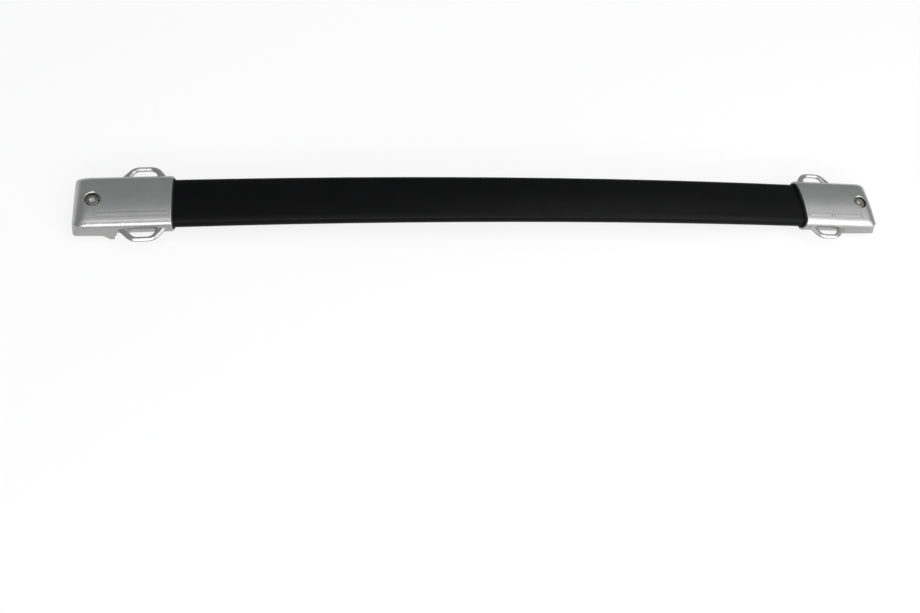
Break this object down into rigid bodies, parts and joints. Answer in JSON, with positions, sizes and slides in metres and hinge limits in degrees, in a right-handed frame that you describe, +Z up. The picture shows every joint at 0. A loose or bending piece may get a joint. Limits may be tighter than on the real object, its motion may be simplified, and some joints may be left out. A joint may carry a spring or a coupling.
{
  "type": "roof rack crossbar",
  "caption": "Bowed oval roof rack crossbar with cast end supports, tie-down loops and screw-driven rail clamps, one end floating along the bar.",
  "frame": {"origin": "on the ground under the middle of the bar, at the tips of the supports' prongs", "axes": "+X along the bar towards the floating end, +Y away from the camera across the bar, +Z up"},
  "size_m": [0.9966, 0.098, 0.0414],
  "materials": {
    "silver_casting": "silver painted die casting",
    "black_bar": "satin black coated extrusion",
    "dark_zinc": "dark zinc plate",
    "bright_zinc": "bright zinc plate",
    "black_steel": "black oxide",
    "black_rubber": "matte moulded rubber"
  },
  "bodies": {
    "bar": {"crossbar_beam": "black_bar", "left_end_support": "silver_casting", "left_fixing_screws": "black_steel", "left_fixing_nuts": "bright_zinc", "right_float_pin": "black_steel", "right_float_nut": "bright_zinc", "left_bar_seal": "black_rubber", "left_screw_washer": "bright_zinc", "left_rail_saddle": "silver_casting", "left_saddle_pad": "black_rubber", "left_foot_pad": "black_rubber"},
    "left_screw": {"left_clamp_screw": "dark_zinc"},
    "left_jaw": {"left_clamp_jaw": "bright_zinc", "left_jaw_nut": "bright_zinc"},
    "right_end": {"right_end_support": "silver_casting", "right_bar_seal": "black_rubber", "right_screw_washer": "bright_zinc", "right_rail_saddle": "silver_casting"},
    "right_screw": {"right_clamp_screw": "dark_zinc"},
    "right_jaw": {"right_clamp_jaw": "bright_zinc", "right_jaw_nut": "bright_zinc"}
  },
  "joints": [
    {"name": "right_end_float", "type": "slide", "parent": "bar", "child": "right_end", "axis": [0.9984, 0, -0.0564], "range_m": [-0.005, 0.008]},
    {"name": "left_clamp_screw_turn", "type": "hinge", "parent": "bar", "child": "left_screw", "pos_m": [-0.476, 0, 0.02774], "axis": [0, 0, 1], "range_deg": [0, 864]},
    {"name": "left_jaw_travel", "type": "slide", "parent": "bar", "child": "left_jaw", "axis": [0, 0, -1], "range_m": [0, 0.003]},
    {"name": "right_clamp_screw_turn", "type": "hinge", "parent": "right_end", "child": "right_screw", "pos_m": [0.476, 0, 0.02774], "axis": [0, 0, 1], "range_deg": [0, 864]},
    {"name": "right_jaw_travel", "type": "slide", "parent": "right_end", "child": "right_jaw", "axis": [0, 0, -1], "range_m": [0, 0.003]}
  ],
  "couplings": [
    {"joint": "left_clamp_screw_turn", "follows": "left_jaw_travel", "rad_per_m": 5026.5},
    {"joint": "right_clamp_screw_turn", "follows": "right_jaw_travel", "rad_per_m": 5026.5}
  ]
}
